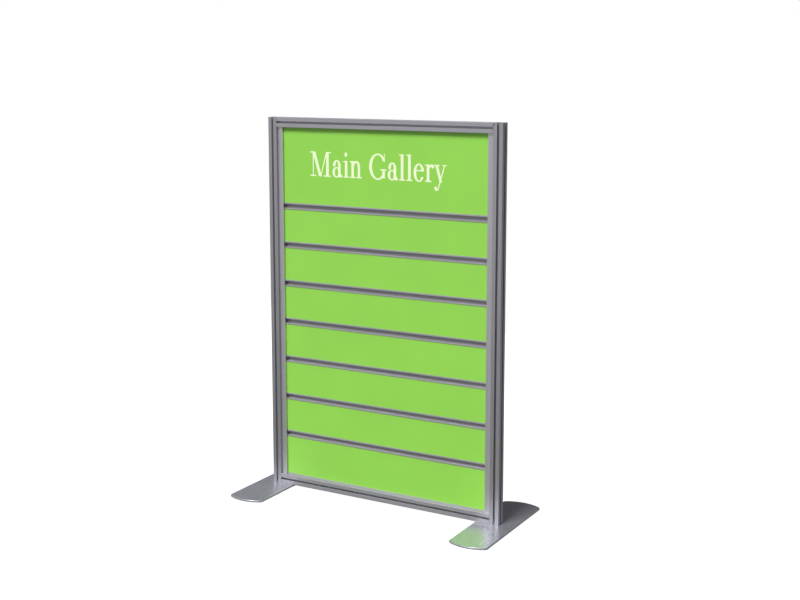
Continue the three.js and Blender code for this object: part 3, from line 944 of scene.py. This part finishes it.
class PARTITION_OT_slat_channels(bpy.types.Operator):
    """Build the accessory channels between the boards"""

    bl_idname = "partition.slat_channels"
    bl_label = "Accessory Channels"

    def execute(self, context):
        wanted = context.scene.partition_wall.trim
        metal = anodised(
            "Matt Anodised Aluminium Channel", linear(CHANNEL_COLOUR), "X", CHANNEL_ROUGHNESS,
            CHANNEL_METALLIC)
        r, inner = wanted.edge, CHANNEL_HALF - CHANNEL_WALL
        # the upper half of the section, from the back to the groove's mouth and back again
        upper = np.array([
            (BOARD_BACK, CHANNEL_HALF, r), (FIN_BACK, CHANNEL_HALF, r), (FIN_BACK, FIN_TIP, r),
            (FIN_FRONT, FIN_TIP, r), (FIN_FRONT, CHANNEL_HALF, r), (LIP_BACK, CHANNEL_HALF, 0.2),
            (LIP_BACK, CHANNEL_LIP_HALF, 0.2), (LIP_FRONT, CHANNEL_LIP_HALF, r),
            (LIP_FRONT, GROOVE_MOUTH_HALF, r), (LIP_BACK, GROOVE_MOUTH_HALF, r), (LIP_BACK, inner, r),
            (BOARD_BACK - CHANNEL_WALL, inner, 1.0),
        ])
        section = np.vstack((upper, upper[::-1] * (1, -1, 1)))
        for node in in_slot("trim_anodised"):
            if node.startswith("slat_channel"):
                low, high = corners_of(node)
                rings = carry(section, "X", low[0], high[0], (0.0, (low[2] + high[2]) / 2))
                place(f"{node}_extrusion", mesh_of(node, [rings]), [metal], [node])
        return {"FINISHED"}


class PARTITION_OT_back_panel(bpy.types.Operator):
    """Build the sheet that closes the back"""

    bl_idname = "partition.back_panel"
    bl_label = "Back Panel"

    def execute(self, context):
        low, high = corners_of("back_panel")
        corners = [(low[1], low[2], 0.3), (high[1], low[2], 0.6), (high[1], high[2], 0.6),
                   (low[1], high[2], 0.3)]
        rings = carry(corners, "X", low[0], high[0])
        place("back_panel_sheet", mesh_of("back_panel", [rings]), [hardboard()],
              ["back_panel"])
        return {"FINISHED"}


class PARTITION_OT_feet(bpy.types.Operator):
    """Build the foot plates and the pads under them"""

    bl_idname = "partition.feet"
    bl_label = "Feet"

    def execute(self, context):
        wanted = context.scene.partition_wall.foot
        steel = powder_coat(tuple(wanted.colour))
        for name, _ in SIDES:
            self.plate(name, wanted.edge, steel)
            self.pad(name)
        return {"FINISHED"}

    @staticmethod
    def plate(name, edge, steel):
        """Plate whose top edge is a quarter round, with a countersunk hole in the middle and a hole for
        each locating pin."""
        node = f"{name}_foot_plate"
        low, high = corners_of(node)
        (width, length), middle = (high - low)[:2], (low[:2] + high[:2]) / 2
        angle = np.linspace(0, np.pi / 2, 6)
        insets = [0.4, 0.0, *(edge * (1 - np.cos(angle)))]
        heights = [low[2], low[2] + 0.4, *(high[2] - edge + edge * np.sin(angle))]
        outside = np.stack([plate_outline(width, length, inset) for inset in insets]) + middle
        loops = [runs(outside, np.array(heights), "Z")]
        radii = (SINK_RADIUS, SINK_RADIUS, BOLT_CLEARANCE, BOLT_CLEARANCE)
        sink = np.stack([circle(radius) for radius in radii])
        depths = np.array([low[2], low[2] + 0.5, low[2] + 0.5 + SINK_DEPTH, high[2]])
        loops.append(runs(sink + middle, depths, "Z"))
        for end in (-1, 1):
            loops.append(carry_bore(PIN_SHANK, "Z", low[2], high[2], middle + (0, end * PIN_OFFSET)))
        place(f"{node}_coated", mesh_of(node, loops), [steel], [node])

    @staticmethod
    def pad(name):
        """Rubber sheet a little smaller than the plate, with a hole that clears the screw's head."""
        node = f"{name}_foot_pad"
        plate_low, plate_high = corners_of(f"{name}_foot_plate")
        low, high = corners_of(node)
        (width, length), middle = (plate_high - plate_low)[:2], (plate_low[:2] + plate_high[:2]) / 2
        insets = (PAD_INSET + 0.15, PAD_INSET, PAD_INSET, PAD_INSET + 0.15)
        outside = np.stack([plate_outline(width, length, inset) for inset in insets]) + middle
        heights = np.array([low[2], low[2] + 0.15, high[2] - 0.15, high[2]])
        hole = carry_bore(PAD_HOLE, "Z", low[2], high[2], middle)
        place(f"{node}_rubber", mesh_of(node, [runs(outside, heights, "Z"), hole]), [rubber()],
              [node])


class PARTITION_OT_fasteners(bpy.types.Operator):
    """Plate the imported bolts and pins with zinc"""

    bl_idname = "partition.fasteners"
    bl_label = "Fasteners"

    def execute(self, context):
        zinc = zinc_steel()
        for node in in_slot("zinc_steel"):
            slots = frame["nodes"][node].data.materials
            slots.clear()
            slots.append(zinc)
        return {"FINISHED"}


class PARTITION_OT_heading(bpy.types.Operator):
    """Lay the heading film on the header board"""

    bl_idname = "partition.heading"
    bl_label = "Heading"

    def execute(self, context):
        wanted = context.scene.partition_wall.heading
        low = corners_of("header_board")[0]
        tall = wanted.capital / CAPITAL
        wide = tall * wanted.squeeze
        ends = np.cumsum([0, *(ADVANCE.get(letter, OTHER_ADVANCE) for letter in wanted.words)])
        start = wanted.middle - ends[-1] * wide / 2
        x = np.arange(start - FILM_MARGIN, start + ends[-1] * wide + FILM_MARGIN, FILM_CELL)
        # from a quarter of an em under the baseline to three quarters over it
        z = np.arange(-0.25, 0.75, FILM_CELL / 1000 / tall) * 1000 * tall
        u, v = np.meshgrid((x - start) / wide, z / tall)
        shape = np.minimum.reduce([
            letter_shape(letter, u - end, v) for letter, end in zip(wanted.words, ends)
        ])
        height = low[2] + wanted.baseline + z
        front = BOARD_FRONT - FILM_THICKNESS
        mesh = film("heading", shape * wide, x, height, front, BOARD_FRONT)
        place("heading_film", mesh, [vinyl(tuple(wanted.colour))], [])
        return {"FINISHED"}


class PARTITION_OT_stage(bpy.types.Operator):
    """Set the floor, the studio light and the camera"""

    bl_idname = "partition.stage"
    bl_label = "Stage"

    def execute(self, context):
        wanted = context.scene.partition_wall.stage
        self.floor(context, wanted.floor, wanted.glow)
        self.key(context, wanted.key)
        self.sky(context)
        self.camera(context, wanted.lens)
        return {"FINISHED"}

    @staticmethod
    def floor(context, side, glow):
        """Square matt grey floor that glows white to the camera alone, so that the floor does not light the
        object as a white one would.
        Close to a piece ambient occlusion dims the glow: a painted contact shadow round its feet."""
        ends = np.array([(-1, -1, 0), (1, -1, 0), (1, 1, 0), (-1, 1, 0)]) * side / 2
        mesh = bpy.data.meshes.new("floor")
        mesh.from_pydata(ends.tolist(), [], [(0, 1, 2, 3)])

        def build(tree):
            cloud = streaks(tree, (900.0,) * 3)
            seen = add_node(tree, "ShaderNodeLightPath").outputs["Is Camera Ray"]
            lift = add_node(tree, "ShaderNodeMath", {0: seen, 1: glow}, operation="MULTIPLY").outputs[0]
            wanted = {"Distance": PAINTED_SHADOW_GAP * MM}
            # ambient occlusion dims the glow near a piece: a painted contact shadow
            near = add_node(tree, "ShaderNodeAmbientOcclusion", wanted, samples=8).outputs["AO"]
            lift = add_node(tree, "ShaderNodeMath", {0: lift, 1: near}, operation="MULTIPLY").outputs[0]
            pale = blend(tree, spread(tree, cloud, 0, 1), linear("#787878"), linear("#7C7C7C"))
            return {"Emission Strength": lift, "Base Color": pale}

        lit = {"Roughness": 0.9, "IOR": 1.3, "Emission Color": linear("#FFFFFF")}
        mesh.materials.append(finish_material("Pale Lit Floor", lit, build))
        floor = bpy.data.objects.new("floor", mesh)
        context.collection.objects.link(floor)

    @staticmethod
    def key(context, strength):
        """Distant soft light, steeply above the front and a little to the left, as even on the lowest
        board as on the header."""
        lamp = bpy.data.lights.new("key", "SUN")
        lamp.energy, lamp.angle = strength, math.radians(KEY_ANGLE)
        light = bpy.data.objects.new("key", lamp)
        light.location = KEY_PLACE
        light.rotation_euler = (-light.location).to_track_quat("-Z", "Y").to_euler()
        context.collection.objects.link(light)

    @staticmethod
    def sky(context):
        """White to the camera. To the object it is a soft room: bright from the front left and from above,
        darker towards the back right, with a faint fill from straight across the bright side."""
        world = bpy.data.worlds.new("studio")
        context.scene.world = world
        world.use_nodes = True
        tree = world.node_tree
        tree.nodes.clear()
        way = add_node(tree, "ShaderNodeTexCoord").outputs["Generated"]
        wanted = {0: way, 1: SKY_BRIGHT_WAY}
        facing = add_node(tree, "ShaderNodeVectorMath", wanted, operation="DOT_PRODUCT").outputs["Value"]
        side = spread(tree, facing, 0.04, 0.44, -0.35, 0.4)
        up = add_node(tree, "ShaderNodeSeparateXYZ", {0: way}).outputs["Z"]
        above = spread(tree, up, 0.0, 0.12, 0.4, 1.0)
        fill = spread(tree, facing, 0.2, 0.0, -0.95, -0.5)
        lit = add_node(tree, "ShaderNodeMath", {0: side, 1: above}, operation="ADD").outputs[0]
        both = add_node(tree, "ShaderNodeMath", {0: lit, 1: fill}, operation="ADD").outputs[0]
        room = add_node(tree, "ShaderNodeBackground", {"Color": linear("#FBFBFF"), "Strength": both})
        white = add_node(tree, "ShaderNodeBackground", {"Color": linear("#FFFFFF"), "Strength": 1.0})
        seen = add_node(tree, "ShaderNodeLightPath").outputs["Is Camera Ray"]
        mixed = add_node(tree, "ShaderNodeMixShader", {0: seen, 1: room.outputs[0], 2: white.outputs[0]})
        add_node(tree, "ShaderNodeOutputWorld", {"Surface": mixed.outputs[0]})
        context.scene.view_settings.view_transform = "Standard"

    @staticmethod
    def camera(context, lens):
        """Camera to the right of the wall at eye height, looking a little down, with a vertical shift."""
        data = bpy.data.cameras.new("camera")
        data.sensor_width, data.lens, data.shift_y = CAMERA_SENSOR, lens, CAMERA_SHIFT
        camera = bpy.data.objects.new("camera", data)
        camera.location = CAMERA_PLACE
        camera.rotation_euler = (math.radians(90 - CAMERA_PITCH), 0.0, math.radians(CAMERA_YAW))
        context.collection.objects.link(camera)
        context.scene.camera = camera


# ---------------- panel and registration

OPERATORS = (
    PARTITION_OT_uprights,
    PARTITION_OT_rails,
    PARTITION_OT_side_channels,
    PARTITION_OT_sill_trim,
    PARTITION_OT_boards,
    PARTITION_OT_slat_channels,
    PARTITION_OT_back_panel,
    PARTITION_OT_feet,
    PARTITION_OT_fasteners,
    PARTITION_OT_heading,
    PARTITION_OT_stage,
)


class PARTITION_PT_panel(bpy.types.Panel):
    """Builds the partition wall piece by piece"""

    bl_idname = "PARTITION_PT_panel"
    bl_label = "Partition Wall"
    bl_space_type = "VIEW_3D"
    bl_region_type = "UI"
    bl_category = "Partition Wall"

    def draw(self, context):
        wall = context.scene.partition_wall
        for operator in OPERATORS:
            self.layout.operator(operator.bl_idname)
        for group in (wall.frame, wall.trim, wall.board, wall.foot, wall.heading, wall.stage):
            box = self.layout.box()
            for setting in group.bl_rna.properties.keys()[2:]:
                box.prop(group, setting)


CLASSES = (
    FrameSettings, TrimSettings, BoardSettings, FootSettings, HeadingSettings, StageSettings,
    WallSettings,
    *OPERATORS, PARTITION_PT_panel,
)


def register():
    for made in CLASSES:
        bpy.utils.register_class(made)
    bpy.types.Scene.partition_wall = PointerProperty(type=WallSettings)


def unregister():
    del bpy.types.Scene.partition_wall
    for made in reversed(CLASSES):
        bpy.utils.unregister_class(made)


def main():
    register()
    for operator in OPERATORS:
        group, _, call = operator.bl_idname.partition(".")
        getattr(getattr(bpy.ops, group), call)()


if __name__ == "__main__":
    main()
